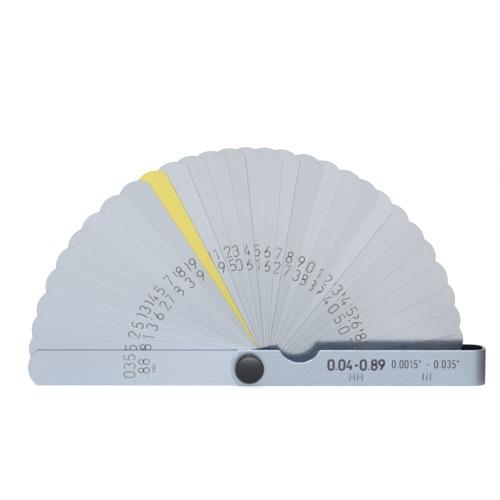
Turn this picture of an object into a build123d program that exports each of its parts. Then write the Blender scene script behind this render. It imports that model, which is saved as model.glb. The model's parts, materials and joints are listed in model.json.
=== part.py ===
from build123d import *
import os

# A pocket feeler gauge: thirty-one thin steel leaves on one stud, between the
# cheeks of a clip bent from a single strip, and locked by a knurled knob.
#
# Frame: X runs along the clip, Y away from the knob and Z up. The gauge stands
# on the long edges of the clip at z = 0, the stud's axis is at x = 0, and
# y = 0 is the middle of the front cheek's thickness.

INCH = 25.4
TOLERANCE = 0.001  # for picking edges and corners by their place

# --------------------------------------------------------------------- leaves
LEAF_WIDTH = 0.5 * INCH  # half-inch strip
LEAF_LENGTH = 85.0  # from the round heel to the tip
LEAF_TIP_RISE = 3.424  # of the round tip over its two corners
LEAF_GAP = 0.02  # film of air between neighbouring leaves
LEAF_HOLE_CLEARANCE = 0.05  # radial, on the stud's shank

# Each leaf from the front to the back: thickness in thousandths of an inch, and
# its rest angle in degrees, counter-clockwise from +X as seen from the knob.
LEAVES = [
    (35, 180.0),
    (1.5, 174.7),
    (2, 169.2),
    (2.5, 163.2),
    (3, 156.0),
    (4, 149.5),
    (5, 143.3),
    (6, 143.3),
    (7, 137.4),
    (8, 130.4),
    (9, 123.6),
    (10, 118.1),
    (11, 112.1),
    (12, 106.9),
    (13, 101.3),
    (14, 96.1),
    (15, 91.3),
    (16, 86.0),
    (17, 81.2),
    (18, 74.6),
    (19, 68.8),
    (20, 62.3),
    (21, 57.1),
    (22, 51.9),
    (23, 45.5),
    (24, 38.7),
    (25, 32.8),
    (26, 25.2),
    (28, 19.0),
    (30, 12.5),
    (32, 6.6),
]
BRASS_THOU = 10  # the one brass leaf

# ----------------------------------------------------------------------- clip
CLIP_SHEET = 1.0  # thickness of the strip
CLIP_MARGIN = 0.1  # the strip stands this far past each side of the leaves
TOE_MARGIN = 0.15  # and this far past their heels
TOE_RISE = 2.525  # of the rounded open end over its two corners
BEND_ROOM = 6.75  # from the tips of the folded leaves to the outside of the bend
BEND_RADIUS = 5.5  # outer radius of each of the bend's two corners
BEND_RADIUS_LIMIT = 0.45  # and no more than this share of the clip's depth
CLIP_EDGE_RADIUS = 0.12  # tumbled edges of the strip

NOTCH_X = 18.0  # thumb notch in the upper edge of both cheeks
NOTCH_RADIUS = 7.9
NOTCH_DEPTH = 4.5
NOTCH_LIP_RADIUS = 0.8

# ----------------------------------------------------------------------- stud
THREAD_RADIUS = 2.5  # M5, modelled at its major diameter
THREAD_CHAMFER = 0.4
SHANK_STEP = 0.5  # the shank that carries the leaves is this much larger in radius
SHANK_RECESS = 0.2  # shank ends this far inside the front cheek's outer face
CHEEK_HOLE_CLEARANCE = 0.05  # radial, in the front cheek
NECK_CUT = 0.6  # depth of each of the two flats that stop the stud from turning
NECK_CLEARANCE = 0.03
HEAD_RIM = 2.0  # the head is this much larger than the shank in radius
HEAD_HEIGHT = 1.2
HEAD_CHAMFER = 0.4
SLOT_WIDTH = 1.2
SLOT_DEPTH = 0.6

# -------------------------------------------------------- washer and lock knob
SEAT_GAP = 0.01  # between faces that clamp on each other
WASHER_INSET = 0.65  # the washer is this much smaller than the knob in radius
WASHER_THICKNESS = 0.5
WASHER_CLEARANCE = 0.1  # radial, on the thread
KNOB_RADIUS = 5.35
KNOB_HEIGHT = 4.0
KNOB_FACE_INSET = 0.75  # from the knob's outside to the edge of its face
KNOB_FACE_CHAMFER = 0.5
KNOB_BACK_CHAMFER = 0.3
KNOB_CAP = 1.0  # solid metal over the blind bore
KNOB_BORE_CLEARANCE = 0.05  # radial, over the thread
KNOB_END_CLEARANCE = 0.3  # between the stud's end and the bottom of the bore

# ------------------------------------------------------------- worked-out sizes
HALF_LEAF = LEAF_WIDTH / 2
LEAF_REACH = LEAF_LENGTH - HALF_LEAF  # from the stud's axis to the tip
HALF_CLIP = HALF_LEAF + CLIP_MARGIN
CLIP_TOE = HALF_LEAF + TOE_MARGIN  # from the stud's axis to the open end
CLIP_BACK = LEAF_REACH + BEND_ROOM  # from the stud's axis to the outside of the bend
PIVOT_HEIGHT = HALF_CLIP
SHANK_RADIUS = THREAD_RADIUS + SHANK_STEP
NECK_FLATS = 2 * (SHANK_RADIUS - NECK_CUT)
LEAF_HOLE_RADIUS = SHANK_RADIUS + LEAF_HOLE_CLEARANCE
HEAD_RADIUS = SHANK_RADIUS + HEAD_RIM
WASHER_RADIUS = KNOB_RADIUS - WASHER_INSET

thicknesses = [thou * INCH / 1000 for thou, _ in LEAVES]
front_inner = CLIP_SHEET / 2
front_outer = -CLIP_SHEET / 2
back_inner = front_inner + sum(thicknesses) + LEAF_GAP * (len(LEAVES) + 1)
back_outer = back_inner + CLIP_SHEET
bend_radius = min(BEND_RADIUS, BEND_RADIUS_LIMIT * (back_outer - front_outer))

washer_back = front_outer - SEAT_GAP
washer_front = washer_back - WASHER_THICKNESS
knob_back = washer_front - SEAT_GAP
knob_front = knob_back - KNOB_HEIGHT
bore_bottom = knob_front + KNOB_CAP
thread_end = bore_bottom + KNOB_END_CLEARANCE
shank_front = front_outer + SHANK_RECESS
head_back = back_outer + HEAD_HEIGHT


def plate(outline, front, back):
    """Stand an outline drawn in X and Z on the stud's axis, solid from front to back in Y."""
    upright = Plane(origin=(0, front, PIVOT_HEIGHT), x_dir=(1, 0, 0), z_dir=(0, -1, 0))
    return extrude(upright * outline, front - back)


def disc(radius, front, back):
    """A round plate about the stud's axis."""
    return plate(Circle(radius), front, back)


def edges_at_y(solid, y):
    """The edges of a turned piece that lie in the plane at y."""
    return solid.edges().filter_by_position(Axis.Y, y - TOLERANCE, y + TOLERANCE)


def make_leaf(front, thickness, angle):
    """One leaf: parallel sides, a round heel about its hole, and a flatter tip with two corners."""
    corner = LEAF_REACH - LEAF_TIP_RISE
    outline = make_face(
        [
            Line((0, -HALF_LEAF), (corner, -HALF_LEAF)),
            ThreePointArc((corner, -HALF_LEAF), (LEAF_REACH, 0), (corner, HALF_LEAF)),
            Line((corner, HALF_LEAF), (0, HALF_LEAF)),
            ThreePointArc((0, HALF_LEAF), (-HALF_LEAF, 0), (0, -HALF_LEAF)),
        ]
    )
    outline -= Circle(LEAF_HOLE_RADIUS)
    return plate(Rot(0, 0, angle) * outline, front, front + thickness)


def bent_strip(inset):
    """Plan of the bend's outside, or of its inside when inset by the sheet."""
    near = front_outer + inset
    far = back_outer - inset
    right = CLIP_BACK - inset
    left = -CLIP_TOE - CLIP_SHEET  # past the open end, which the side outline trims
    plan = Pos((left + right) / 2, (near + far) / 2) * Rectangle(right - left, far - near)
    return fillet(plan.vertices().group_by(Axis.X)[-1], bend_radius - inset)


def double_d(radius, flats):
    """A round section with two flats, above and below the stud's axis."""
    return Circle(radius) & Rectangle(2 * radius, flats)


def make_clip():
    """The case: one strip bent into a long U, with round toes and a thumb notch."""
    corner = TOE_RISE - CLIP_TOE
    right = CLIP_BACK + CLIP_SHEET
    side = make_face(
        [
            Line((corner, -HALF_CLIP), (right, -HALF_CLIP)),
            Line((right, -HALF_CLIP), (right, HALF_CLIP)),
            Line((right, HALF_CLIP), (corner, HALF_CLIP)),
            ThreePointArc((corner, HALF_CLIP), (-CLIP_TOE, 0), (corner, -HALF_CLIP)),
        ]
    )
    side -= Pos(NOTCH_X, HALF_CLIP - NOTCH_DEPTH + NOTCH_RADIUS) * Circle(NOTCH_RADIUS)
    lips = [
        vertex
        for vertex in side.vertices()
        if abs(vertex.Y - HALF_CLIP) < TOLERANCE and abs(vertex.X - NOTCH_X) < NOTCH_RADIUS
    ]
    side = fillet(lips, NOTCH_LIP_RADIUS)

    strip = extrude(bent_strip(0) - bent_strip(CLIP_SHEET), 2 * HALF_CLIP)
    strip &= plate(side, front_outer - CLIP_SHEET, back_outer + CLIP_SHEET)
    long_edges = [edge for edge in strip.edges() if edge.bounding_box().size.Y < CLIP_SHEET / 2]
    bend_edges = [
        edge
        for edge in strip.edges()
        if edge.bounding_box().size.Y >= CLIP_SHEET / 2 and edge.center().X > CLIP_BACK / 2
    ]
    strip = fillet(long_edges + bend_edges, CLIP_EDGE_RADIUS)

    strip -= disc(SHANK_RADIUS + CHEEK_HOLE_CLEARANCE, front_outer, front_inner)
    neck_hole = double_d(SHANK_RADIUS + NECK_CLEARANCE, NECK_FLATS + 2 * NECK_CLEARANCE)
    return strip - plate(neck_hole, back_inner, back_outer)


def make_stud():
    """The pivot: slotted head behind, flatted neck, plain shank and threaded nose."""
    head = disc(HEAD_RADIUS, back_outer, head_back)
    head = chamfer(edges_at_y(head, head_back), HEAD_CHAMFER)
    head -= plate(Rectangle(2 * HEAD_RADIUS, SLOT_WIDTH), head_back - SLOT_DEPTH, head_back)
    neck = plate(double_d(SHANK_RADIUS, NECK_FLATS), back_inner, back_outer)
    shank = disc(SHANK_RADIUS, shank_front, back_inner)
    nose = disc(THREAD_RADIUS, thread_end, shank_front)
    nose = chamfer(edges_at_y(nose, thread_end), THREAD_CHAMFER)
    return head + neck + shank + nose


def make_washer():
    """The plain washer between the front cheek and the knob."""
    hole = disc(THREAD_RADIUS + WASHER_CLEARANCE, washer_front, washer_back)
    return disc(WASHER_RADIUS, washer_front, washer_back) - hole


def make_knob():
    """The blind lock knob, without its knurl."""
    body = disc(KNOB_RADIUS, knob_front, knob_back)
    body = chamfer(edges_at_y(body, knob_front), KNOB_FACE_CHAMFER, KNOB_FACE_INSET)
    body = chamfer(edges_at_y(body, knob_back), KNOB_BACK_CHAMFER)
    return body - disc(THREAD_RADIUS + KNOB_BORE_CLEARANCE, bore_bottom, knob_back)


def leaf_name(thou):
    """Node name of a leaf, such as leaf_2p5_thou or leaf_10_thou_brass."""
    name = f"leaf_{thou:g}_thou".replace(".", "p")
    return name + "_brass" if thou == BRASS_THOU else name


def make_parts():
    """Every piece by its node name."""
    pieces = {
        "case_clip": make_clip(),
        "pivot_stud": make_stud(),
        "clamp_washer": make_washer(),
        "lock_knob": make_knob(),
    }
    front = front_inner + LEAF_GAP
    for (thou, angle), thickness in zip(LEAVES, thicknesses):
        pieces[leaf_name(thou)] = make_leaf(front, thickness, angle)
        front += thickness + LEAF_GAP
    return pieces


os.makedirs("parts", exist_ok=True)
for name, piece in make_parts().items():
    export_step(piece, f"parts/{name}.step")
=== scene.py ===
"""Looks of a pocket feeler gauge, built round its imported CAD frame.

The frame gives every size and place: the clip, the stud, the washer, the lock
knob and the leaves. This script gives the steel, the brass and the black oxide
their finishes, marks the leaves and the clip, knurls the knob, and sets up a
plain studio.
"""

from __future__ import annotations

import json
import logging
import math
import random
from dataclasses import dataclass
from enum import Enum
from typing import ClassVar

import bmesh
import bpy
from mathutils import Matrix, Vector

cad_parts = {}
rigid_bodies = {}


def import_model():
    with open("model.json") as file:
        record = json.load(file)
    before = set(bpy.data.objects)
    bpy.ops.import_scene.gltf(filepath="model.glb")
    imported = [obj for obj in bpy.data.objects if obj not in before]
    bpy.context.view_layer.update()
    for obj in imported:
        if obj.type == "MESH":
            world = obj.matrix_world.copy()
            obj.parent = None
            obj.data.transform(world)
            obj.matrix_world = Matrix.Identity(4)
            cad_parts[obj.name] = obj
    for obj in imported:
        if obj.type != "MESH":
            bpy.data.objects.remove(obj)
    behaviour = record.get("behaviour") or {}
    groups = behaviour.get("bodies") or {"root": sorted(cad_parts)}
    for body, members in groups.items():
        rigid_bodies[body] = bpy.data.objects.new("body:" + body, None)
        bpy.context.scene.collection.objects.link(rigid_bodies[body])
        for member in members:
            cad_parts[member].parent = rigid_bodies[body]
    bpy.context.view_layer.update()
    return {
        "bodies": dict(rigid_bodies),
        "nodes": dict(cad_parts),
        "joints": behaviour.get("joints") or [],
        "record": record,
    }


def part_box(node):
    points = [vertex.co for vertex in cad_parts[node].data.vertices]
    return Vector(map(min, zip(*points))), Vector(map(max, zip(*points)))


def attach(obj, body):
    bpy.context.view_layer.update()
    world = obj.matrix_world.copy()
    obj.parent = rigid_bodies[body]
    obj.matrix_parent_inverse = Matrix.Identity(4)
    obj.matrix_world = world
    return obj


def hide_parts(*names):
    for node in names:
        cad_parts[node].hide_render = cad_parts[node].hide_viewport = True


LOG = logging.getLogger("feeler_gauge")
MM = 0.001
THOU_IN_MM = 0.0254
LAST_FINE_LEAF = 32
MERGE_DISTANCE = 0.0001 * MM

Colour = tuple[float, float, float]
Place = tuple[float, float, float]
Point = tuple[float, float]
Socket = bpy.types.NodeSocket


# ------------------------------------------------------------------ node helpers
class Tree:
    """A node tree under construction, with short calls for adding and linking."""

    def __init__(self, tree: bpy.types.NodeTree) -> None:
        """Wraps a tree and empties it."""
        self.tree = tree
        tree.nodes.clear()

    def add(self, kind: str, **settings: object) -> bpy.types.Node:
        """Adds a node.

        Args:
            kind: The node's type name.
            settings: Attributes of the node; a key that names an input sets its value.

        Returns:
            The new node.
        """
        node = self.tree.nodes.new(kind)
        for key, value in settings.items():
            if hasattr(node, key):
                setattr(node, key, value)
            else:
                node.inputs[key.replace("_", " ")].default_value = value
        return node

    def link(self, source: Socket, target: Socket) -> None:
        """Joins an output to an input."""
        self.tree.links.new(source, target)

    def math(self, operation: str, first: Socket, second: Socket | float = 0.0) -> Socket:
        """Adds a Math node with a linked input and a linked or constant one."""
        node = self.add("ShaderNodeMath", operation=operation)
        self.link(first, node.inputs[0])
        if isinstance(second, (int, float)):
            node.inputs[1].default_value = second
        else:
            self.link(second, node.inputs[1])
        return node.outputs["Value"]

    def sum(self, first: Socket, second: Socket | float) -> Socket:
        """Adds two values."""
        return self.math("ADD", first, second)

    def product(self, first: Socket, second: Socket | float) -> Socket:
        """Multiplies two values."""
        return self.math("MULTIPLY", first, second)

    def ramp(self, value: Socket, start: float, end: float, factor: float) -> Socket:
        """Goes smoothly from one at the start to a factor at the end, and stays there.

        Args:
            value: The value that is followed.
            start: Where the result is still one.
            end: Where the result is the factor. It may be less than the start.
            factor: The result at the end.

        Returns:
            The result's socket.
        """
        first, last = (1.0, factor) if start < end else (factor, 1.0)
        limits = (min(start, end), max(start, end))
        return self.span(value, limits, (first, last), "SMOOTHSTEP")

    def span(
        self, value: Socket, given: Point, wanted: Point, interpolation: str = "LINEAR"
    ) -> Socket:
        """Takes one range of values to another.

        Args:
            value: The value that is followed.
            given: The range it is in.
            wanted: The range it is taken to.
            interpolation: How it goes from end to end.

        Returns:
            The result's socket.
        """
        node = self.add("ShaderNodeMapRange", interpolation_type=interpolation)
        for label, number in zip(("From Min", "From Max", "To Min", "To Max"), given + wanted):
            node.inputs[label].default_value = number
        self.link(value, node.inputs["Value"])
        return node.outputs["Result"]

    def mix_value(self, share: Socket, value: Socket) -> Socket:
        """Gives one where the share is one, and the value where the share is zero."""
        rest = self.sum(self.product(value, -1.0), 1.0)
        return self.sum(self.product(rest, share), value)

    def local(
        self, vector: Socket, centre: Place, angle: float = 0.0, scale: Place = (1.0, 1.0, 1.0)
    ) -> Socket:
        """Coordinates about a centre, turned about Y and measured in the given lengths.

        Args:
            vector: The coordinates.
            centre: Where the new ones are zero.
            angle: How far the new X leans from the old one towards Z, in radians.
            scale: Lengths that become one, along each new axis.

        Returns:
            The new coordinates' socket.
        """
        node = self.add(
            "ShaderNodeMapping",
            vector_type="TEXTURE",
            Location=centre,
            Rotation=(0.0, -angle, 0.0),
            Scale=scale,
        )
        self.link(vector, node.inputs["Vector"])
        return node.outputs["Vector"]

    def split(self, vector: Socket) -> bpy.types.NodeOutputs:
        """The X, Y and Z of a vector."""
        node = self.add("ShaderNodeSeparateXYZ")
        self.link(vector, node.inputs["Vector"])
        return node.outputs

    def joined(self, **channels: Socket) -> Socket:
        """A vector of the given X, Y and Z, zero where one is not given."""
        node = self.add("ShaderNodeCombineXYZ")
        for channel, value in channels.items():
            self.link(value, node.inputs[channel])
        return node.outputs["Vector"]

    def length(self, vector: Socket) -> Socket:
        """The length of a vector."""
        node = self.add("ShaderNodeVectorMath", operation="LENGTH")
        self.link(vector, node.inputs[0])
        return node.outputs["Value"]

    def times(self, vector: Socket, factors: Socket) -> Socket:
        """Multiplies two vectors or colours, channel by channel."""
        node = self.add("ShaderNodeVectorMath", operation="MULTIPLY")
        self.link(vector, node.inputs[0])
        self.link(factors, node.inputs[1])
        return node.outputs["Vector"]

    def noise(self, vector: Socket, **settings: float) -> Socket:
        """Soft noise between zero and one."""
        node = self.add("ShaderNodeTexNoise", **settings)
        self.link(vector, node.inputs["Vector"])
        return node.outputs["Fac"]

    def shades(self, value: Socket, colour: Colour, spread: float, stops: Point) -> Socket:
        """A colour made darker and lighter by a value.

        Args:
            value: The value that is followed.
            colour: The mean colour.
            spread: How much darker and lighter it gets, as a share of it.
            stops: The values where it is darkest and lightest.

        Returns:
            The colour's socket.
        """
        node = self.add("ShaderNodeValToRGB")
        for element, factor, stop in zip(node.color_ramp.elements, (1 - spread, 1 + spread), stops):
            element.position = stop
            element.color = (*[channel * factor for channel in colour], 1.0)
        self.link(value, node.inputs["Fac"])
        return node.outputs["Color"]

    def bumped(self, shader: bpy.types.Node, height: Socket, strength: float, depth: float) -> None:
        """Gives a shader a fine relief."""
        node = self.add("ShaderNodeBump", Strength=strength, Distance=depth)
        self.link(height, node.inputs["Height"])
        self.link(node.outputs["Normal"], shader.inputs["Normal"])


def new_material(
    name: str, kind: str = "BsdfPrincipled", **settings: object
) -> tuple[bpy.types.Material, Tree, bpy.types.Node, bpy.types.NodeOutputs]:
    """Starts a material.

    Args:
        name: Name of the material.
        kind: The shader's type name.
        settings: Values of the shader's own sockets.

    Returns:
        The material, its tree, its shader, and the coordinates of the surface.
    """
    made = bpy.data.materials.new(name)
    made.use_nodes = True
    tree = Tree(made.node_tree)
    output = tree.add("ShaderNodeOutputMaterial")
    shader = tree.add("ShaderNode" + kind, **settings)
    tree.link(shader.outputs[0], output.inputs["Surface"])
    return made, tree, shader, tree.add("ShaderNodeTexCoord").outputs


def geometry_tree(name: str, inputs: dict[str, tuple[str, float]]) -> tuple[Tree, dict]:
    """Starts a Geometry Nodes tree with a geometry input and named sizes.

    Args:
        name: The tree's name.
        inputs: Socket type and default value of each named input.

    Returns:
        The tree, and its "in" and "out" group nodes.
    """
    group = bpy.data.node_groups.new(name, "GeometryNodeTree")
    group.interface.new_socket("Geometry", in_out="INPUT", socket_type="NodeSocketGeometry")
    for label, (kind, default) in inputs.items():
        socket = group.interface.new_socket(label, in_out="INPUT", socket_type=kind)
        if kind != "NodeSocketMaterial":
            socket.default_value = default
    group.interface.new_socket("Geometry", in_out="OUTPUT", socket_type="NodeSocketGeometry")
    tree = Tree(group)
    ends = {"in": tree.add("NodeGroupInput"), "out": tree.add("NodeGroupOutput")}
    return tree, ends


def finish_tree(tree: Tree, ends: dict, geometry: Socket) -> None:
    """Ends a tree with Realize Instances and Set Material."""
    realize = tree.add("GeometryNodeRealizeInstances")
    paint = tree.add("GeometryNodeSetMaterial")
    tree.link(geometry, realize.inputs["Geometry"])
    tree.link(realize.outputs["Geometry"], paint.inputs["Geometry"])
    tree.link(ends["in"].outputs["Material"], paint.inputs["Material"])
    tree.link(paint.outputs["Geometry"], ends["out"].inputs["Geometry"])


def grow(host: bpy.types.Object, tree: Tree, values: dict[str, object]) -> bpy.types.Mesh:
    """Runs a Geometry Nodes tree on a host object, and removes the host.

    Args:
        host: The object whose data goes into the tree.
        tree: The tree.
        values: Value of each named input.

    Returns:
        The evaluated result as a plain mesh.
    """
    modifier = host.modifiers.new("grow", "NODES")
    modifier.node_group = tree.tree
    for item in tree.tree.interface.items_tree:
        if item.item_type == "SOCKET" and item.in_out == "INPUT" and item.name in values:
            modifier[item.identifier] = values[item.name]
    bpy.context.view_layer.update()
    depsgraph = bpy.context.evaluated_depsgraph_get()
    mesh = bpy.data.meshes.new_from_object(host.evaluated_get(depsgraph), depsgraph=depsgraph)
    bpy.data.objects.remove(host)
    return mesh


def link_object(name: str, data: bpy.types.ID | None) -> bpy.types.Object:
    """Makes an object at the origin and puts it in the scene."""
    made = bpy.data.objects.new(name, data)
    bpy.context.scene.collection.objects.link(made)
    return made


# ---------------------------------------------------------------------- finishes
class LeafBrightness(Enum):
    """How light or dark a leaf is, set leaf by leaf, as a factor on its colour."""

    DULL = 0.965
    PLAIN = 1.0
    BRIGHT = 1.035


class Seam(Enum):
    """The painted highlight (LIGHT) or painted shadow (FAINT, DARK, BOLD) along a leaf's clockwise
    side, as a factor on its colour.
    """

    LIGHT = 1.17
    FAINT = 0.93
    DARK = 0.78
    BOLD = 0.6


@dataclass(frozen=True)
class GroundMetal:
    """Metal strip ground along its length.

    Attributes:
        name: Name of the material.
        colour: Reflected colour.
        roughness: Mean roughness.
        grain_angle: Direction of the grinding marks, in radians from +X towards +Z.
        centre: A point that the pattern is centred on.
        contrast: How much the marks change the colour.
        marks: Height of the grinding marks.
    """

    name: str
    colour: Colour
    roughness: float = 0.2
    grain_angle: float = 0.0
    centre: Place = (0.0, 0.0, 0.0)
    contrast: float = 0.04
    marks: float = 0.4e-6

    GRAIN_SIZE: ClassVar[Place] = (9 * MM, 1 * MM, 0.11 * MM)
    CLOUD_SIZE: ClassVar[Place] = (26 * MM, 5 * MM, 9 * MM)
    GRAIN_SHARE: ClassVar[float] = 0.45
    COLOUR_STOPS: ClassVar[Point] = (0.3, 0.7)
    ROUGH_STOPS: ClassVar[Point] = (0.25, 0.75)
    ROUGH_SPREAD: ClassVar[float] = 0.2

    def toned(self, tree: Tree, surface: bpy.types.NodeOutputs, ground: Socket) -> Socket:
        """The colour with its changes from place to place; plain strip has none."""
        return ground

    def material(self) -> bpy.types.Material:
        """Builds the material."""
        made, tree, shader, surface = new_material(self.name, Metallic=1.0)
        grain_place = tree.local(surface["Object"], self.centre, self.grain_angle, self.GRAIN_SIZE)
        grain = tree.noise(grain_place, Scale=1.0, Detail=3.0, Roughness=0.6)
        cloud_place = tree.local(surface["Object"], self.centre, self.grain_angle, self.CLOUD_SIZE)
        cloud = tree.noise(cloud_place, Scale=1.0, Detail=2.0, Roughness=0.5)
        blend = tree.sum(
            tree.product(grain, self.GRAIN_SHARE), tree.product(cloud, 1.0 - self.GRAIN_SHARE)
        )
        ground = tree.shades(blend, self.colour, self.contrast, self.COLOUR_STOPS)
        tree.link(self.toned(tree, surface, ground), shader.inputs["Base Color"])
        least, most = (self.roughness * (1 + k * self.ROUGH_SPREAD) for k in (-1, 1))
        rough = tree.span(grain, self.ROUGH_STOPS, (least, most))
        tree.link(rough, shader.inputs["Roughness"])
        tree.bumped(shader, grain, 1.0, self.marks)
        return made


@dataclass(frozen=True)
class LeafMetal(GroundMetal):
    """Ground strip cut to a leaf: dark cut edges, a fine rim of painted light and shade round the
    face, a painted dark reflection round the tip, and painted light and shade near the stud.

    Attributes:
        half_width: Half the leaf's width.
        reach: From the pattern's centre to the tip.
        tip_radius: Radius of the round tip.
        rim: Width of the rim that the edges' rounding leaves on the face, drawn as painted light
            and shade.
        seam_tone: Factor on the colour of the rim along the leaf's clockwise side; above one it is
            a painted highlight, below one a painted shadow of the gap.
        beside_tone: Factor on the colour just inside that rim; above one it is a thin painted
            highlight.
        tip_tone: Factor on the colour of the rim round the tip and along the other side; below one
            it is a painted dark reflection of the rounded edge.
        heel_light_and_shade: Factor on the colour near the stud; painted shade below one and
            painted light above one.
        heel_start: Distance from the stud where the heel's tone starts.
        heel_end: Distance from the stud where it is full.
        cut_tone: Factor on the colour of the cut edges.
        tint_powers: Power of these factors in red, green and blue, so that what is dark is bluer.
    """

    half_width: float = 6.35 * MM
    reach: float = 78.65 * MM
    tip_radius: float = 7.6 * MM
    rim: float = 0.34 * MM
    seam_tone: float = 1.1
    beside_tone: float = 1.0
    tip_tone: float = 0.9
    heel_light_and_shade: float = 0.93
    heel_start: float = 60 * MM
    heel_end: float = 12 * MM
    cut_tone: float = 0.2
    tint_powers: Colour = (1.15, 1.0, 0.8)

    def toned(self, tree: Tree, surface: bpy.types.NodeOutputs, ground: Socket) -> Socket:
        """The ground colour, toned by the place on the leaf.

        Args:
            tree: The material's tree.
            surface: Coordinates of the surface.
            ground: The ground metal's colour.

        Returns:
            The colour's socket.
        """
        local = tree.split(tree.local(surface["Object"], self.centre, self.grain_angle))
        along, across = local["X"], local["Z"]
        clockwise = tree.sum(across, self.half_width)
        # Along the clockwise side: a painted highlight where seam_tone is above one, and a painted
        # shadow where it is below one, with a thin painted highlight just inside it.
        seam = tree.ramp(clockwise, self.rim, 0.45 * self.rim, self.seam_tone)
        beside = tree.ramp(clockwise, 2.4 * self.rim, 1.4 * self.rim, self.beside_tone)
        other = tree.sum(tree.product(across, -1.0), self.half_width)
        # Along the other side and round the tip: a painted dark reflection of the rounded edge.
        far_side = tree.ramp(other, self.rim, 0.0, self.tip_tone)

        beyond_centre = tree.sum(along, self.tip_radius - self.reach)
        radius = tree.length(tree.joined(X=beyond_centre, Z=across))
        tip_rim = tree.ramp(
            radius, self.tip_radius - 1.3 * self.rim, self.tip_radius, self.tip_tone
        )
        tip = tree.mix_value(tree.ramp(beyond_centre, 0.0, 0.5 * MM, 0.0), tip_rim)

        # Painted light and shade near the stud: shade where the factor is below one, light where it
        # is above.
        heel = tree.ramp(along, self.heel_start, self.heel_end, self.heel_light_and_shade)
        facing = tree.math("ABSOLUTE", tree.split(surface["Normal"])["Y"])
        cut = tree.ramp(facing, 0.7, 0.3, self.cut_tone)
        tone = seam
        for factor in (beside, far_side, tip, heel, cut):
            tone = tree.product(tone, factor)
        tints = [tree.math("POWER", tone, power) for power in self.tint_powers]
        return tree.times(ground, tree.joined(X=tints[0], Y=tints[1], Z=tints[2]))


@dataclass(frozen=True)
class ClipMetal(GroundMetal):
    """Ground strip bent to the clip: near black inside the back cheek and the bend, painted light
    inside the front cheek, and painted highlights below the upper edges.

    Attributes:
        inner_half: Half the room between the cheeks.
        inner_end: Where the room ends, at the bend.
        inner_radius: Inner radius of the bend's corners.
        sheet: Thickness of the strip.
        top: Height of the upper edges.
        rim: Width of the painted highlight band below the upper edges.
        notch: Centre of the thumb notch, along X and Z.
        notch_radius: Radius of the thumb notch.
        toe: Centre of the open end's arc, along X and Z.
        toe_radius: Radius of the open end's arc.
        back_inside_tone: Factor on the colour of the back cheek and the bend, inside, which makes
            them near black.
        front_inside_painted_light: Factor on the colour of the front cheek, inside; above one it is
            painted light, which lightens its reflection in the leaves.
        rim_highlight_tone: Factor on the colour of the band below the edges; a painted highlight.
        cut_tone: Factor on the colour of the upper cut edges.
    """

    inner_half: float = 6.4 * MM
    inner_end: float = 84.4 * MM
    inner_radius: float = 4.5 * MM
    sheet: float = 1.0 * MM
    top: float = 12.9 * MM
    rim: float = 0.34 * MM
    notch: Point = (18 * MM, 16.3 * MM)
    notch_radius: float = 7.9 * MM
    toe: Point = (3 * MM, 6.45 * MM)
    toe_radius: float = 9.5 * MM
    back_inside_tone: float = 0.06
    front_inside_painted_light: float = 2.0
    rim_highlight_tone: float = 1.07
    cut_tone: float = 0.3

    def band(self, tree: Tree, distance: Socket, edge: float, side: float) -> Socket:
        """The painted highlight band beside an edge.

        Args:
            tree: The material's tree.
            distance: The distance that the edge is given in.
            edge: Where the edge is.
            side: 1 if the metal lies past the edge, and -1 if it lies before it.

        Returns:
            The socket of the factor on the colour.
        """
        start, full = edge + side * self.rim, edge + side * 0.3 * self.rim
        return tree.ramp(distance, start, full, self.rim_highlight_tone)

    def inside_tones(self, tree: Tree, place: bpy.types.NodeOutputs) -> Socket:
        """The factor on the colour inside the clip, and one on its outside: near black inside the
        back cheek and the bend, and painted light inside the front cheek.

        Args:
            tree: The material's tree.
            place: X, Y and Z on the surface.

        Returns:
            The factor's socket.
        """
        aside = tree.math("ABSOLUTE", tree.sum(place["Y"], -self.centre[1]))
        past_y = tree.sum(aside, self.inner_radius - self.inner_half)
        past_x = tree.sum(place["X"], self.inner_radius - self.inner_end)
        depth = tree.length(
            tree.joined(X=tree.math("MAXIMUM", past_x), Y=tree.math("MAXIMUM", past_y))
        )
        wall = self.inner_radius + 0.1 * self.sheet
        outside = tree.ramp(depth, wall, wall + 0.2 * self.sheet, 0.0)
        middle = self.centre[1]
        is_back = tree.ramp(place["Y"], middle, middle - self.sheet, 0.0)
        contrast = self.back_inside_tone - self.front_inside_painted_light
        tone = tree.sum(tree.product(is_back, contrast), self.front_inside_painted_light)
        return tree.sum(tree.product(outside, tree.sum(tone, -1.0)), 1.0)

    def toned(self, tree: Tree, surface: bpy.types.NodeOutputs, ground: Socket) -> Socket:
        """The ground colour, toned by the place on the clip.

        Args:
            tree: The material's tree.
            surface: Coordinates of the surface.
            ground: The ground metal's colour.

        Returns:
            The colour's socket.
        """
        place = tree.split(surface["Object"])
        reaches = []
        for x, z in (self.notch, self.toe):
            reaches.append(
                tree.length(tree.joined(X=tree.sum(place["X"], -x), Z=tree.sum(place["Z"], -z)))
            )
        # Painted highlights below the upper edges, on the notch's lip and along the toe's arc.
        upper = self.band(tree, place["Z"], self.top, -1)
        lip = self.band(tree, reaches[0], self.notch_radius, 1)
        toe = self.band(tree, reaches[1], self.toe_radius, -1)
        toe = tree.mix_value(tree.ramp(place["X"], -2 * MM, -3 * MM, 0.0), toe)
        # The brightest of these painted highlights.
        worn = tree.math("MAXIMUM", tree.math("MAXIMUM", upper, lip), toe)
        cut = tree.ramp(tree.split(surface["Normal"])["Z"], 0.5, 0.9, self.cut_tone)
        tone = tree.product(tree.product(self.inside_tones(tree, place), cut), worn)
        return tree.times(ground, tree.joined(X=tone, Y=tone, Z=tone))


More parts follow.
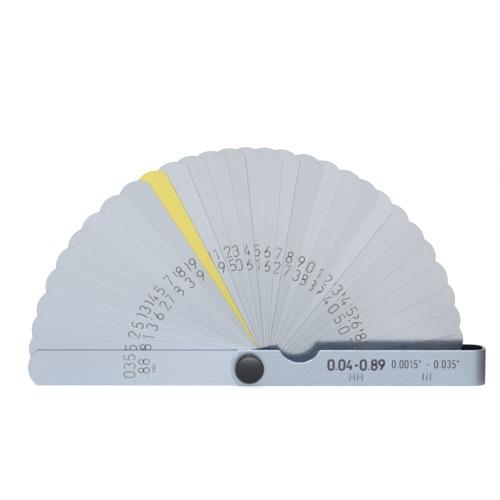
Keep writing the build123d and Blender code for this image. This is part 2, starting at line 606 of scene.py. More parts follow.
@dataclass(frozen=True)
class BlackOxide:
    """Blackened steel, a little worn where it stands furthest from its axis.

    Attributes:
        name: Name of the material.
        axis_point: A point on the piece's axis, which runs along Y.
        worn_from: Distance from the axis where the wear starts.
        worn_to: Distance from the axis where the wear is full.
        colour: Colour of the oxide.
        worn_colour: Colour where it is worn.
        roughness: Mean roughness.
    """

    name: str
    axis_point: Place
    worn_from: float
    worn_to: float
    colour: Colour = (0.003, 0.0042, 0.0078)
    worn_colour: Colour = (0.03, 0.03, 0.034)
    roughness: float = 0.32

    def material(self) -> bpy.types.Material:
        """Builds the material."""
        made, tree, shader, surface = new_material(self.name, Metallic=0.0, IOR=1.43)
        square_to_axis = tree.local(surface["Object"], self.axis_point, scale=(1.0, 1e6, 1.0))
        reach = tree.length(square_to_axis)
        wear = tree.span(reach, (self.worn_from, self.worn_to), (0.0, 1.0))
        speckle = tree.noise(surface["Object"], Scale=1400.0, Detail=4.0, Roughness=0.6)
        mix = tree.add("ShaderNodeMix", data_type="RGBA")
        for socket in mix.inputs:
            if socket.type == "RGBA":
                chosen = self.colour if socket.name == "A" else self.worn_colour
                socket.default_value = (*chosen, 1.0)
        factor = next(s for s in mix.inputs if s.name == "Factor" and s.type == "VALUE")
        tree.link(tree.product(wear, speckle), factor)
        mixed = next(s for s in mix.outputs if s.type == "RGBA")
        tree.link(mixed, shader.inputs["Base Color"])
        rough = tree.span(speckle, (0.0, 1.0), (self.roughness * 0.8, self.roughness * 1.25))
        tree.link(rough, shader.inputs["Roughness"])
        tree.bumped(shader, speckle, 0.5, 2e-6)
        return made


@dataclass(frozen=True)
class EtchInk:
    """The matt deposit that an electrolytic marker leaves, uneven from stroke to stroke.

    Attributes:
        name: Name of the material.
        colour: Mean colour.
        unevenness: How much darker and lighter it gets, as a share of the colour.
    """

    name: str
    colour: Colour
    unevenness: float = 0.25

    def material(self) -> bpy.types.Material:
        """Builds the material."""
        made, tree, shader, surface = new_material(
            self.name, Metallic=0.0, Roughness=0.6, IOR=1.4
        )
        speckle = tree.noise(surface["Object"], Scale=900.0, Detail=3.0)
        tint = tree.shades(speckle, self.colour, self.unevenness, (0.35, 0.65))
        tree.link(tint, shader.inputs["Base Color"])
        return made


# ------------------------------------------------------------------ line lettering
def arc(cx: float, cy: float, rx: float, ry: float, start: float, end: float) -> list[Point]:
    """Points of an elliptical arc, about every 15 degrees.

    Args:
        cx: Centre, across.
        cy: Centre, up.
        rx: Radius across.
        ry: Radius up.
        start: First angle in degrees, counter-clockwise from the right.
        end: Last angle in degrees.

    Returns:
        The points from start to end.
    """
    steps = max(2, round(abs(end - start) / 15))
    angles = [math.radians(start + (end - start) * i / steps) for i in range(steps + 1)]
    return [(cx + rx * math.cos(a), cy + ry * math.sin(a)) for a in angles]


@dataclass(frozen=True)
class Stroke:
    """One pass of the marker, through points in units of the character's height."""

    points: list[Point]
    closed: bool = False


@dataclass(frozen=True)
class Character:
    """A character as marker strokes, with its width in units of its height."""

    width: float
    strokes: list[Stroke]


def oval(cx: float, cy: float, rx: float, ry: float) -> Stroke:
    """A closed oval stroke."""
    return Stroke(arc(cx, cy, rx, ry, 0, 345), closed=True)


def line_characters() -> dict[str, Character]:
    """The characters that the gauge is marked with, one unit high."""
    w, r = 0.5, 0.25
    zero = arc(r, 1 - r, r, r, 0, 180) + arc(r, r, r, r, 180, 360)
    two = arc(r, 1 - r, r, r, 170, -35) + [(0.0, 0.0), (w, 0.0)]
    three = arc(r, 0.76, 0.23, 0.24, 155, -80)[:-1] + arc(r, 0.27, r, 0.27, 80, -155)
    four = [(0.3, 1.0), (0.0, 0.26), (w, 0.26)]
    five = [(0.46, 1.0), (0.07, 1.0), (0.04, 0.5)] + arc(r, 0.3, r, 0.3, 130, -150)
    six_tail = [(0.36, 1.0), (0.1, 0.56), (0.02, 0.38)]
    nine_tail = [(w - x, 1 - y) for x, y in six_tail]
    em = [(0.0, 0.0), (0.0, 1.0), (0.3, 0.3), (0.6, 1.0), (0.6, 0.0)]
    en = [(0.0, 0.0), (0.0, 1.0), (0.48, 0.0), (0.48, 1.0)]
    minutes = [Stroke([(x, 1.0), (x, 0.78)]) for x in (0.04, 0.18)]
    return {
        "0": Character(w, [Stroke(zero, closed=True)]),
        "1": Character(0.34, [Stroke([(0.04, 0.8), (0.26, 1.0), (0.26, 0.0)])]),
        "2": Character(w, [Stroke(two)]),
        "3": Character(w, [Stroke(three)]),
        "4": Character(w, [Stroke(four), Stroke([(0.37, 0.5), (0.37, 0.0)])]),
        "5": Character(w, [Stroke(five)]),
        "6": Character(w, [oval(r, 0.27, r, 0.27), Stroke(six_tail)]),
        "7": Character(w, [Stroke([(0.0, 1.0), (w, 1.0), (0.17, 0.0)])]),
        "8": Character(w, [oval(r, 0.76, 0.21, 0.24), oval(r, 0.27, r, 0.27)]),
        "9": Character(w, [oval(r, 0.73, r, 0.27), Stroke(nine_tail)]),
        ".": Character(0.1, [Stroke([(0.05, 0.0), (0.05, 0.1)])]),
        "-": Character(0.4, [Stroke([(0.04, 0.45), (0.36, 0.45)])]),
        '"': Character(0.22, minutes),
        "M": Character(0.6, [Stroke(em)]),
        "I": Character(0.1, [Stroke([(0.05, 0.0), (0.05, 1.0)])]),
        "N": Character(0.48, [Stroke(en)]),
        " ": Character(0.3, []),
    }


@dataclass(frozen=True)
class Line:
    """A line of marked text, in its own plane: x along the text and y up.

    Attributes:
        text: The characters.
        height: Height of the characters, in metres.
        centre: Middle of the line.
        spacing: Room between characters, in units of the height.
        stretch: Factor on the characters' width.
    """

    text: str
    height: float
    centre: Point
    spacing: float = 0.17
    stretch: float = 1.0


class Marker:
    """Draws lines of text as strokes of one width, each a thin closed ribbon."""

    def __init__(self) -> None:
        """Prepares the characters and the tree that turns strokes into ribbons."""
        self.characters = line_characters()
        self.tree = self.ribbon_tree()

    def ribbon_tree(self) -> Tree:
        """Builds the Geometry Nodes tree: a flat bar carried along each stroke."""
        tree, ends = geometry_tree(
            "marker_ribbon",
            {
                "Stroke Width": ("NodeSocketFloat", 0.38 * MM),
                "Stroke Height": ("NodeSocketFloat", 0.01 * MM),
                "Material": ("NodeSocketMaterial", 0.0),
            },
        )
        normal = tree.add("GeometryNodeSetCurveNormal", mode="Z_UP")
        bar = tree.add("GeometryNodeCurvePrimitiveQuadrilateral", mode="RECTANGLE")
        carry = tree.add("GeometryNodeCurveToMesh")
        carry.inputs["Fill Caps"].default_value = True
        tree.link(ends["in"].outputs["Geometry"], normal.inputs["Curve"])
        tree.link(normal.outputs["Curve"], carry.inputs["Curve"])
        tree.link(ends["in"].outputs["Stroke Width"], bar.inputs["Width"])
        tree.link(ends["in"].outputs["Stroke Height"], bar.inputs["Height"])
        tree.link(bar.outputs["Curve"], carry.inputs["Profile Curve"])
        finish_tree(tree, ends, carry.outputs["Mesh"])
        return tree

    def line_width(self, line: Line) -> float:
        """Length of a line of text, in metres."""
        widths = [self.characters[c].width * line.stretch for c in line.text]
        return line.height * (sum(widths) + line.spacing * (len(widths) - 1))

    def draw(
        self,
        name: str,
        lines: list[Line],
        stroke: float,
        rise: float,
        ink: bpy.types.Material,
        place: Matrix,
    ) -> bpy.types.Object:
        """Marks lines of text on a surface.

        Args:
            name: Name of the piece.
            lines: The lines of text.
            stroke: Width of the strokes.
            rise: Height of the ribbons, half of it in the surface.
            ink: Material of the mark.
            place: Takes the text's plane to its place on the surface.

        Returns:
            The mark as one mesh object at the origin.
        """
        curve = bpy.data.curves.new(name, "CURVE")
        curve.dimensions = "3D"
        for line in lines:
            x = line.centre[0] - self.line_width(line) / 2
            base = line.centre[1] - line.height / 2
            for character in (self.characters[c] for c in line.text):
                for one in character.strokes:
                    spline = curve.splines.new("POLY")
                    spline.points.add(len(one.points) - 1)
                    spline.use_cyclic_u = one.closed
                    for target, (u, v) in zip(spline.points, one.points):
                        along = x + u * line.stretch * line.height
                        target.co = (along, base + v * line.height, 0.0, 1.0)
                x += (character.width * line.stretch + line.spacing) * line.height
        values = {"Stroke Width": stroke, "Stroke Height": rise, "Material": ink}
        mesh = grow(link_object(name + "_strokes", curve), self.tree, values)
        mesh.transform(place)
        return link_object(name, mesh)


# -------------------------------------------------------------------- turned work
def turned(name: str, profile: list[Point], axis: Vector, segments: int = 96) -> bpy.types.Mesh:
    """Turns a closed profile about an axis along Y.

    Args:
        name: Name of the mesh.
        profile: Points (radius, y) in order round the section. A radius of zero lies on the axis.
        axis: A point on the axis.
        segments: Number of flats round the piece.

    Returns:
        A closed mesh with its faces outwards.
    """
    vertices: list[Place] = []
    rings: list[list[int]] = []
    for radius, y in profile:
        count = 1 if radius == 0 else segments
        rings.append(list(range(len(vertices), len(vertices) + count)))
        for i in range(count):
            angle = 2 * math.pi * i / segments
            across, up = radius * math.cos(angle), radius * math.sin(angle)
            vertices.append((axis.x + across, y, axis.z + up))
    faces: list[list[int]] = []
    for near, far in zip(rings, rings[1:] + rings[:1]):
        for i in range(segments):
            k = (i + 1) % segments
            order = ((near, i), (near, k), (far, k), (far, i))
            corners = [ring[j % len(ring)] for ring, j in order]
            unique = list(dict.fromkeys(corners))
            if len(unique) > 2:
                faces.append(unique)
    mesh = bpy.data.meshes.new(name)
    mesh.from_pydata(vertices, [], faces)
    mesh.update()
    face_outwards(mesh)
    return mesh


def face_outwards(mesh: bpy.types.Mesh) -> None:
    """Merges the doubles of a closed mesh and recalculates its normals."""
    work = bmesh.new()
    work.from_mesh(mesh)
    bmesh.ops.remove_doubles(work, verts=work.verts, dist=MERGE_DISTANCE)
    bmesh.ops.recalc_face_normals(work, faces=work.faces)
    work.to_mesh(mesh)
    work.free()


def smooth(mesh: bpy.types.Mesh, angle: float = 30.0) -> None:
    """Shades a mesh smooth, with sharp edges kept where faces meet at more than an angle."""
    mesh.shade_smooth()
    mesh.set_sharp_from_angle(angle=math.radians(angle))


# --------------------------------------------------------------------------- pieces
@dataclass
class Leaf:
    """One leaf of the fan.

    Attributes:
        node: Its CAD node and body.
        thou: Thickness in thousandths of an inch.
        angle: Rest angle in radians, from +X towards +Z.
        pivot: Where the stud's axis meets its front face.
        reach: From the stud's axis to the tip.
        polish: How bright it is.
        shift: How far the marks sit from the middle of the leaf, clockwise.
    """

    node: str
    thou: float
    angle: float
    pivot: Vector
    reach: float
    polish: LeafBrightness
    shift: float

    INCH_ROW: ClassVar[float] = 43.0 * MM
    METRIC_ROW: ClassVar[float] = 37.9 * MM
    UNIT_ROW: ClassVar[float] = 34.4 * MM
    CHARACTER: ClassVar[float] = 3.9 * MM
    UNIT_CHARACTER: ClassVar[float] = 1.3 * MM
    STROKE: ClassVar[float] = 0.36 * MM
    RISE: ClassVar[float] = 0.012 * MM
    SPACING: ClassVar[float] = 0.29
    CLOSE_SPACING: ClassVar[float] = 0.1
    LONG_MARK: ClassVar[int] = 5
    LEAST_INWARD: ClassVar[float] = 0.4 * MM
    MORE_INWARD: ClassVar[float] = 1.0 * MM

    @property
    def is_brass(self) -> bool:
        """Whether this is the brass leaf."""
        return self.node.endswith("brass")

    def place(self) -> Matrix:
        """Takes a text plane (y towards the tip) to the leaf's front face."""
        up = Vector((math.cos(self.angle), 0.0, math.sin(self.angle)))
        along = Vector((math.sin(self.angle), 0.0, -math.cos(self.angle)))
        out = Vector((0.0, -1.0, 0.0))
        turn = Matrix((along, up, out)).transposed().to_4x4()
        return Matrix.Translation(self.pivot) @ turn

    def inch_mark(self) -> str:
        """The thickness in inches, without the leading zero."""
        if self.thou % 1:
            return f"{self.thou / 1000:.4f}".strip("0")
        return f".{self.thou:03.0f}"

    def metric_mark(self) -> str:
        """The thickness in millimetres, without the leading zero and rounded down at a half."""
        thickness = self.thou * THOU_IN_MM
        if self.thou > LAST_FINE_LEAF:
            return f".{math.floor(thickness * 100):02d}"
        return f"{thickness - 1e-6:.3f}".lstrip("0")

    def lines(self) -> list[Line]:
        """The marks on the leaf, in its text plane; a long one is set close."""
        inch = self.inch_mark()
        is_long = len(inch) >= self.LONG_MARK
        spacing = self.CLOSE_SPACING if is_long else self.SPACING
        rightward = min(1.0, 2 - 2 * self.angle / math.pi)
        inward = self.LEAST_INWARD + self.MORE_INWARD * rightward
        upper = (self.shift, self.INCH_ROW - inward)
        lower = (0.0 if is_long else self.shift, self.METRIC_ROW - inward)
        unit = (self.shift, self.UNIT_ROW - inward)
        return [
            Line(inch, self.CHARACTER, upper, spacing),
            Line(self.metric_mark(), self.CHARACTER, lower, self.SPACING),
            Line("MM", self.UNIT_CHARACTER, unit, spacing=0.35, stretch=1.3),
        ]


class LeafPack:
    """The fan of leaves: a finish for each and its marks.

    Leaves are named by their thickness in thousandths of an inch. The shifts of
    the marks are in millimetres.
    """

    DULL_LEAVES = (9, 14, 18, 21, 24, 25, 26, 28, 30, 32)
    BRIGHT_LEAVES = (7, 11, 19, 22)
    # Leaves with a painted highlight along the clockwise side, with a faint painted shadow there,
    # and with a bold one; the others get a plain painted shadow.
    LIGHT_SEAMS = (2, 2.5, 3, 4, 5, 6, 7)
    FAINT_SEAMS = (1.5, 8, 15, 20, 21)
    BOLD_SEAMS = (10, 11, 14, 17, 22, 30, 35)
    MARK_SHIFTS = dict(
        [(35, -0.15), (1.5, -0.5), (2.5, -0.9), (4, 0.3), (5, -0.8), (7, -0.4), (8, -0.4)]
        + [(11, 0.6), (12, 1.0), (13, -0.3), (17, 0.5), (19, 0.2), (20, -0.8), (21, -0.6)]
        + [(22, -0.6), (25, 0.3), (28, 0.4), (30, 1.3), (32, 1.3)]
    )
    BRASS = (0.66, 0.58, 0.157)
    STEEL = (0.503, 0.531, 0.567)
    FRONT_STEEL = (0.456, 0.511, 0.591)
    JITTER = 0.012
    INK = (0.105, 0.098, 0.07)
    FRONT_INK = (0.165, 0.165, 0.145)
    LAST_PART = 0.83

    def __init__(self, frame: dict, marker: Marker) -> None:
        """Reads every leaf's size and rest angle from the frame."""
        self.nodes = frame["nodes"]
        self.marker = marker
        lowest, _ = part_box("leaf_35_thou")
        reach = -lowest.x
        self.leaves = []
        for joint in frame["joints"]:
            node = joint["child"]
            if not node.startswith("leaf_"):
                continue
            thou = float(node.split("_")[1].replace("p", "."))
            near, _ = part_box(node)
            pivot = Vector((0.0, near.y, joint["pos_m"][2]))
            angle = math.radians(-joint["range_deg"][0])
            shift = self.MARK_SHIFTS.get(thou, 0.0) * MM
            self.leaves.append(Leaf(node, thou, angle, pivot, reach, self.brightness_of(thou), shift))

    def brightness_of(self, thou: float) -> LeafBrightness:
        """How bright a leaf is."""
        if thou in self.DULL_LEAVES:
            return LeafBrightness.DULL
        return LeafBrightness.BRIGHT if thou in self.BRIGHT_LEAVES else LeafBrightness.PLAIN

    def seam_of(self, thou: float) -> Seam:
        """Which painted highlight or painted shadow runs along the clockwise side of a leaf."""
        for seam, leaves in (
            (Seam.LIGHT, self.LIGHT_SEAMS),
            (Seam.FAINT, self.FAINT_SEAMS),
            (Seam.BOLD, self.BOLD_SEAMS),
        ):
            if thou in leaves:
                return seam
        return Seam.DARK

    def finish_of(self, leaf: Leaf, jitter: float) -> GroundMetal:
        """The finish of a leaf.

        Args:
            leaf: The leaf.
            jitter: A small factor on its colour.

        Returns:
            Ground brass or steel, bluer towards the front of the pack.
        """
        factor = leaf.polish.value * jitter
        seam = self.seam_of(leaf.thou)
        turn = leaf.angle / math.pi
        leftward = max(0.0, 2 * turn - 1)
        last_part = max(0.0, (turn - self.LAST_PART) / (1 - self.LAST_PART))
        shape = {
            "roughness": 0.165,
            "grain_angle": leaf.angle,
            "centre": tuple(leaf.pivot),
            "contrast": 0.02,
            "reach": leaf.reach,
            # Along the clockwise side: a painted highlight, or a painted shadow with a thin painted
            # highlight inside it.
            "seam_tone": seam.value,
            "beside_tone": 1.0 if seam is Seam.LIGHT else 1.04,
            # Painted shade near the stud, deepest on the low leaves at the right; on the last
            # leaves at the left it turns to painted light.
            "heel_light_and_shade": 0.8 + 0.14 * (turn + last_part),
        }
        if leaf.is_brass:
            shape.update(roughness=0.22, contrast=0.015, cut_tone=0.5)
            return LeafMetal("rolled_brass", tuple(c * factor for c in self.BRASS), **shape)
        shares = (leftward**2, leftward**2, leftward)
        colour = [
            (plain + (front - plain) * share) * factor
            for plain, front, share in zip(self.STEEL, self.FRONT_STEEL, shares)
        ]
        return LeafMetal(f"spring_steel_{leaf.thou:g}_thou", tuple(colour), **shape)

    def build(self) -> None:
        """Dresses every leaf and marks it."""
        ink = EtchInk("leaf_etch", self.INK).material()
        pale_ink = EtchInk("front_leaf_etch", self.FRONT_INK).material()
        rng = random.Random(31)
        for leaf in self.leaves:
            jitter = 1 + rng.uniform(-self.JITTER, self.JITTER)
            dress(self.nodes[leaf.node], self.finish_of(leaf, jitter).material())
            if leaf.is_brass:
                continue
            deposit = pale_ink if leaf.thou > LAST_FINE_LEAF else ink
            mark = self.marker.draw(
                leaf.node + "_mark", leaf.lines(), leaf.STROKE, leaf.RISE, deposit, leaf.place()
            )
            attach(mark, leaf.node)
            LOG.info("%s: marked %s and %s", leaf.node, leaf.inch_mark(), leaf.metric_mark())


def dress(piece: bpy.types.Object, material: bpy.types.Material) -> None:
    """Gives every face of a piece one material."""
    piece.data.materials.clear()
    piece.data.materials.append(material)


class Clip:
    """The bent strip case, with its size range marked on the front cheek."""

    SHEET = 1.0 * MM
    BEND_RADIUS = 5.5 * MM
    NOTCH_X = 18 * MM
    NOTCH_ABOVE = 3.4 * MM
    METRIC_X = 38.3 * MM
    INCH_X = 63.1 * MM
    UNIT_X = 63.6 * MM
    UNIT_BELOW = 3.1 * MM
    UNIT_CHARACTER = 2.6 * MM
    STRIP_COLOUR = (0.372, 0.43, 0.5)
    PRINT_COLOUR = (0.05, 0.037, 0.066)
    STROKE = 0.4 * MM
    BOLD_STROKE = 0.78 * MM
    RISE = 0.02 * MM

    def __init__(self, frame: dict, marker: Marker) -> None:
        """Reads the clip's place from the frame."""
        self.node = frame["nodes"]["case_clip"]
        self.marker = marker
        self.low, self.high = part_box("case_clip")

    def lines(self) -> tuple[list[Line], list[Line]]:
        """The bold and the plain lines, in the plane of the front cheek."""
        middle = (self.low.z + self.high.z) / 2
        unit_row = middle - self.UNIT_BELOW
        metric = (self.METRIC_X, middle + 1.25 * MM)
        inches = (self.INCH_X, middle + 1.5 * MM)
        bold = [Line("0.04-0.89", 3.5 * MM, metric, spacing=0.24, stretch=1.05)]
        plain = [
            Line("MM", self.UNIT_CHARACTER, (self.METRIC_X, unit_row), spacing=0.4, stretch=1.1),
            Line('0.0015" - 0.035"', 2.7 * MM, inches, spacing=0.27, stretch=0.8),
            Line("IN", self.UNIT_CHARACTER, (self.UNIT_X, unit_row), spacing=0.45, stretch=1.1),
        ]
        return bold, plain

    def build(self) -> None:
        """Dresses the clip and marks the range on it."""
        middle = tuple((self.low + self.high) / 2)
        half = (self.high.y - self.low.y) / 2
        finish = ClipMetal(
            "clip_strip",
            self.STRIP_COLOUR,
            roughness=0.26,
            centre=middle,
            contrast=0.011,
            marks=0.05e-6,
            inner_half=half - self.SHEET,
            inner_end=self.high.x - self.SHEET,
            inner_radius=self.BEND_RADIUS - self.SHEET,
            sheet=self.SHEET,
            top=self.high.z,
            notch=(self.NOTCH_X, self.high.z + self.NOTCH_ABOVE),
        )
        dress(self.node, finish.material())
        ink = EtchInk("clip_print", self.PRINT_COLOUR, unevenness=0.15).material()
        upright = Matrix.Rotation(math.pi / 2, 4, "X")
        cheek = Matrix.Translation((0.0, self.low.y, 0.0)) @ upright
        bold, plain = self.lines()
        for name, lines, stroke in (
            ("clip_range_bold", bold, self.BOLD_STROKE),
            ("clip_range", plain, self.STROKE),
        ):
            mark = self.marker.draw(name, lines, stroke, self.RISE, ink, cheek)
            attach(mark, "case")
        LOG.info("clip: dressed and marked")


@dataclass
class LockKnob:
    """The blind knurled knob.

    Attributes:
        teeth: Number of knurl teeth.
        tooth_depth: Depth of the knurl.
        face_radius: Radius of the polished face.
        face_rounding: Radius of the face's rounded edge.
        dome: How far the face's middle stands in front of its rounded edge.
        crown: How far the face stands in front of the knurl's shoulder.
        bore: Radius of the tapped bore.
        cap: Solid metal over the bore.
        chamfer: Size of the small chamfers at the back and in the bore.
        shoulder_chamfer: Size of the shoulder's chamfer.
        steps: Number of steps in the dome and in the face's rounding.
        wedge: Width of a tooth as a share of its depth.
        bare: Length of the core that the teeth leave bare, behind the shoulder and at the back.
    """

    teeth: int = 72
    tooth_depth: float = 0.42 * MM
    face_radius: float = 4.8 * MM
    face_rounding: float = 0.25 * MM
    dome: float = 0.64 * MM
    crown: float = 1.05 * MM
    bore: float = 2.55 * MM
    cap: float = 1.0 * MM
    chamfer: float = 0.3 * MM
    shoulder_chamfer: float = 0.2 * MM
    steps: int = 10
    wedge: float = 0.48
    bare: float = 0.55 * MM

    def __post_init__(self) -> None:
        """Reads the knob's place from the frame."""
        self.low, self.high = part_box("lock_knob")
        self.axis = (self.low + self.high) / 2
        self.radius = (self.high.x - self.low.x) / 2
        self.root = self.radius - self.tooth_depth

    def body(self) -> bpy.types.Mesh:
        """The turned body: a domed face, a shoulder, the core under the knurl, and the bore."""
        front, back = self.low.y, self.high.y
        shoulder = front + self.crown
        flat = self.face_radius - self.face_rounding
        steps = [i / self.steps for i in range(self.steps + 1)]
        face = [(flat * t, front + self.dome * t**2) for t in steps]
        tilt = math.atan2(2 * self.dome, flat)
        turns = [tilt + (math.pi / 2 - tilt) * t for t in steps[1:]]
        rounding = [
            (
                flat + self.face_rounding * (math.sin(turn) - math.sin(tilt)),
                front + self.dome + self.face_rounding * (math.cos(tilt) - math.cos(turn)),
            )
            for turn in turns
        ]
        outside = [
            (rounding[-1][0], shoulder),
            (self.root - self.shoulder_chamfer, shoulder),
            (self.root, shoulder + self.shoulder_chamfer),
            (self.root, back - self.chamfer),
            (self.root - self.chamfer, back),
        ]
        inside = [
            (self.bore + self.chamfer, back),
            (self.bore, back - self.chamfer),
            (self.bore, front + self.cap + self.chamfer),
            (0.0, front + self.cap),
        ]
        profile = face + rounding + outside + inside
        return turned("knob_body", profile, self.axis, segments=2 * self.teeth)

    def knurl_tree(self) -> Tree:
        """Builds the Geometry Nodes tree: a chamfered wedge repeated round the knob."""
        tree, ends = geometry_tree(
            "straight_knurl",
            {
                "Teeth": ("NodeSocketInt", self.teeth),
                "Root Radius": ("NodeSocketFloat", self.root),
                "Depth": ("NodeSocketFloat", self.tooth_depth),
                "Length": ("NodeSocketFloat", 3.0 * MM),
                "Material": ("NodeSocketMaterial", 0.0),
            },
        )
        given = ends["in"].outputs
        ring = tree.add("GeometryNodeMeshCircle", fill_type="NONE")
        tree.link(given["Teeth"], ring.inputs["Vertices"])
        tree.link(given["Root Radius"], ring.inputs["Radius"])
        tooth = tree.add("GeometryNodeMeshCone", fill_type="NGON")
        tooth.inputs["Vertices"].default_value = 4
        tree.link(given["Depth"], tooth.inputs["Radius Bottom"])
        tree.link(given["Depth"], tooth.inputs["Radius Top"])
        tree.link(given["Length"], tooth.inputs["Depth"])
        position = tree.add("GeometryNodeInputPosition")
        facing = tree.add("FunctionNodeAlignRotationToVector", axis="X")
        tree.link(position.outputs["Position"], facing.inputs["Vector"])
        spread = tree.add("GeometryNodeInstanceOnPoints")
        tree.link(ring.outputs["Mesh"], spread.inputs["Points"])
        tree.link(tooth.outputs["Mesh"], spread.inputs["Instance"])
        tree.link(facing.outputs["Rotation"], spread.inputs["Rotation"])
        spread.inputs["Scale"].default_value = (1.0, self.wedge, 1.0)
        finish_tree(tree, ends, spread.outputs["Instances"])
        return tree

    def build(self) -> None:
        """Turns and knurls the knob, and rides it on its body."""
        worn_to = self.radius + 0.1 * MM
        finish = BlackOxide("knob_black_oxide", tuple(self.axis), self.root, worn_to).material()
        body = self.body()
        smooth(body)
        body.materials.append(finish)
        length = self.high.y - self.low.y - self.crown - self.bare
        knurl = grow(
            link_object("knurl_host", bpy.data.meshes.new("knurl_host")),
            self.knurl_tree(),
            {
                "Teeth": self.teeth,
                "Root Radius": self.root,
                "Depth": self.tooth_depth,
                "Length": length,
                "Material": finish,
            },
        )
        knurl_back = self.high.y - self.chamfer
        to_axis = Matrix.Translation((self.axis.x, knurl_back, self.axis.z))
        knurl.transform(to_axis @ Matrix.Rotation(math.pi / 2, 4, "X"))
        knob = join_meshes("lock_knob_knurled", [body, knurl])
        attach(knob, "knob")
        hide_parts("lock_knob")
        LOG.info("lock knob: %d teeth", self.teeth)


def join_meshes(name: str, meshes: list[bpy.types.Mesh]) -> bpy.types.Object:
    """Joins meshes that share their first material into one object at the origin."""
    work = bmesh.new()
    for mesh in meshes:
        work.from_mesh(mesh)
    joined = bpy.data.meshes.new(name)
    work.to_mesh(joined)
    work.free()
    joined.materials.append(meshes[0].materials[0])
    return link_object(name, joined)


class SmallTurned:
    """The stud and the washer, as they are in the frame, in turned steel."""

    COLOUR = (0.5, 0.52, 0.545)
    ROUGHNESS = 0.28
    CONTRAST = 0.05

    def __init__(self, frame: dict) -> None:
        """Keeps the frame's nodes."""
        self.nodes = frame["nodes"]

    def build(self) -> None:
        """Dresses both."""
        for node in ("pivot_stud", "clamp_washer"):
            low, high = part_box(node)
            centre = tuple((low + high) / 2)
            look = {"centre": centre, "contrast": self.CONTRAST}
            finish = GroundMetal(node + "_steel", self.COLOUR, self.ROUGHNESS, **look)
            dress(self.nodes[node], finish.material())
            LOG.info("%s: dressed", node)


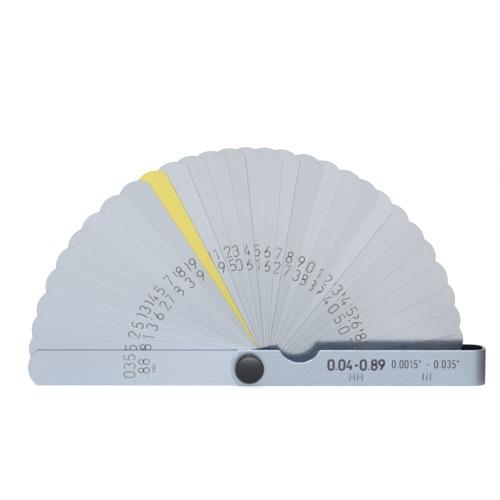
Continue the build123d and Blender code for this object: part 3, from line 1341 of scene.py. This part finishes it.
# --------------------------------------------------------------------------- studio
@dataclass
class Studio:
    """A white table, soft light from above and the front, and the camera.

    Attributes:
        table_size: Side of the table.
        table_grey: How much light the table reflects.
        table_glow: How much light it gives.
        distance: From the camera to the knob.
        elevation: Camera's height in degrees.
        roll: How far the camera is turned clockwise about its own axis, in degrees.
        sensor: Width of the camera's sensor, in millimetres.
        frame_width: Width of the view at the knob.
        knob_right: How far right of the view's middle the knob's face is.
        knob_below: How far below the view's middle the knob's face is.
        bend_radius: Outer radius of the clip's bend.
        flag_half: How far the dark card reaches from the bend, each way.
        flag_height: Height of its turned-up end.
        flag_bright: How much brighter its front is than its back.
        flag_dark: How bright its back is.
        flag_fall: How fast it darkens from front to back.
        flag_lift: How far it lies above the table.
        strip_place: Middle of the glowing strip.
        strip_size: Length and height of the strip.
        strip_bright: How bright the strip is.
        overhead_place: Where the soft light is.
        overhead_side: Side of the soft light.
        overhead_power: Power of the soft light, in watts.
        aim_height: Height of the point that the soft light faces.
    """

    table_size: float = 16.0
    table_grey: float = 0.3
    table_glow: float = 0.7
    distance: float = 1.0
    azimuth: float = -3.0
    elevation: float = 7.3
    roll: float = 0.54
    sensor: float = 36.0
    frame_width: float = 177.4 * MM
    knob_right: float = -0.05 * MM
    knob_below: float = 42.75 * MM
    bend_radius: float = 5.5 * MM
    flag_half: float = 220 * MM
    flag_height: float = 160 * MM
    flag_bright: float = 0.45
    flag_dark: float = 0.08
    flag_fall: float = 8.0
    flag_lift: float = 0.1 * MM
    strip_place: Place = (0.1, -1.2, 0.6)
    strip_size: Point = (2.2, 0.36)
    strip_bright: float = 13.0
    overhead_place: Place = (-0.15, -0.7, 1.0)
    overhead_side: float = 0.7
    overhead_power: float = 5.5
    aim_height: float = 30 * MM

    def table(self) -> None:
        """Makes the white table top."""
        half = self.table_size / 2
        mesh = bpy.data.meshes.new("table_top")
        corners = [(-half, -half, 0.0), (half, -half, 0.0), (half, half, 0.0), (-half, half, 0.0)]
        mesh.from_pydata(corners, [], [(0, 1, 2, 3)])
        white, _, _, _ = new_material(
            "white_table",
            Base_Color=(self.table_grey, self.table_grey, self.table_grey, 1.0),
            Roughness=1.0,
            Specular_IOR_Level=0.0,
            Emission_Color=(1.0, 1.0, 1.0, 1.0),
            Emission_Strength=self.table_glow,
        )
        mesh.materials.append(white)
        link_object("table_top", mesh)

    def lights(self) -> None:
        """Makes the white surroundings, and a soft light that faces the gauge."""
        world = bpy.data.worlds.new("studio")
        bpy.context.scene.world = world
        world.use_nodes = True
        background = world.node_tree.nodes["Background"]
        background.inputs["Color"].default_value = (1.0, 1.0, 1.0, 1.0)
        background.inputs["Strength"].default_value = 1.0
        lamp = bpy.data.lights.new("overhead", "AREA")
        lamp.shape = "SQUARE"
        lamp.size = self.overhead_side
        lamp.energy = self.overhead_power
        made = link_object("overhead", lamp)
        made.location = self.overhead_place
        aim = Vector((0.0, 0.0, self.aim_height)) - Vector(self.overhead_place)
        made.rotation_euler = aim.to_track_quat("-Z", "Y").to_euler()

    @staticmethod
    def card(
        name: str, corners: list[Place], faces: list[tuple], material: bpy.types.Material
    ) -> None:
        """Makes a card that only reflections see, and keeps it out of the gauge.

        Args:
            name: Name of the card.
            corners: Its corners.
            faces: Its faces, as numbers of corners.
            material: Its material.
        """
        mesh = bpy.data.meshes.new(name)
        mesh.from_pydata(corners, [], faces)
        mesh.materials.append(material)
        card = link_object(name, mesh)
        for seen_by in ("camera", "diffuse", "shadow", "transmission"):
            setattr(card, "visible_" + seen_by, False)

    def strip(self) -> None:
        """Makes a long glowing card in front of the gauge."""
        across, high = self.strip_size[0] / 2, self.strip_size[1] / 2
        x, y, z = self.strip_place
        sides = ((-1, -1), (1, -1), (1, 1), (-1, 1))
        corners = [(x + i * across, y, z + k * high) for i, k in sides]
        glow, _, _, _ = new_material("front_strip", "Emission", Strength=self.strip_bright)
        self.card("front_strip", corners, [(0, 1, 2, 3)], glow)

    def flag(self) -> None:
        """Makes a graded dark card right of the bend, flat and turned up at its end."""
        low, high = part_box("case_clip")
        bend = Vector((high.x - self.bend_radius, (low.y + high.y) / 2, 0.0))
        near, far = bend.y - self.flag_half, bend.y + self.flag_half
        end, lift = bend.x + self.flag_half, self.flag_lift
        corners = [(bend.x, near, lift), (end, near, lift), (end, far, lift), (bend.x, far, lift)]
        corners += [(end, near, self.flag_height), (end, far, self.flag_height)]
        grey, tree, glow, surface = new_material("dark_flag", "Emission")
        flat = (1.0, 1.0, 0.0)
        local = tree.add("ShaderNodeMapping", vector_type="POINT", Location=-bend, Scale=flat)
        tree.link(surface["Object"], local.inputs["Vector"])
        direction = tree.add("ShaderNodeVectorMath", operation="NORMALIZE")
        tree.link(local.outputs["Vector"], direction.inputs[0])
        sideways = tree.split(direction.outputs["Vector"])["Y"]
        frontward = tree.sum(tree.product(sideways, -0.5), 0.5)
        graded = tree.sum(tree.math("POWER", frontward, self.flag_fall), frontward)
        bright = tree.sum(tree.product(graded, self.flag_bright), self.flag_dark)
        tree.link(bright, glow.inputs["Strength"])
        self.card("dark_flag", corners, [(0, 1, 2, 3), (1, 4, 5, 2)], grey)

    def camera(self) -> None:
        """Makes the camera and frames the gauge."""
        low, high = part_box("lock_knob")
        knob = Vector(((low.x + high.x) / 2, low.y, (low.z + high.z) / 2))
        a, e = math.radians(self.azimuth), math.radians(self.elevation)
        back = Vector((math.sin(a) * math.cos(e), -math.cos(a) * math.cos(e), math.sin(e)))
        right = Vector((math.cos(a), math.sin(a), 0.0))
        up = right.cross(-back)
        turn = Matrix.Rotation(math.radians(-self.roll), 3, -back)
        right, up = turn @ right, turn @ up
        aim = knob - right * self.knob_right + up * self.knob_below
        lens = bpy.data.cameras.new("camera")
        lens.sensor_width = self.sensor
        lens.lens = lens.sensor_width * self.distance / self.frame_width
        lens.clip_start, lens.clip_end = 0.05, 40.0
        made = link_object("camera", lens)
        made.location = aim + back * self.distance
        made.rotation_euler = Matrix((right, up, back)).transposed().to_euler()
        bpy.context.scene.camera = made

    def build(self) -> None:
        """Makes the table, the lights and the camera."""
        self.camera()
        self.table()
        self.flag()
        self.strip()
        self.lights()
        settings = bpy.context.scene.view_settings
        settings.view_transform = "Standard"
        settings.look = "None"
        LOG.info("studio: built")


def main() -> None:
    """Builds the gauge and its studio."""
    logging.basicConfig(level=logging.INFO, format="%(name)s: %(message)s")
    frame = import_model()
    Studio().build()
    marker = Marker()
    Clip(frame, marker).build()
    SmallTurned(frame).build()
    LockKnob().build()
    LeafPack(frame, marker).build()


if __name__ == "__main__":
    main()
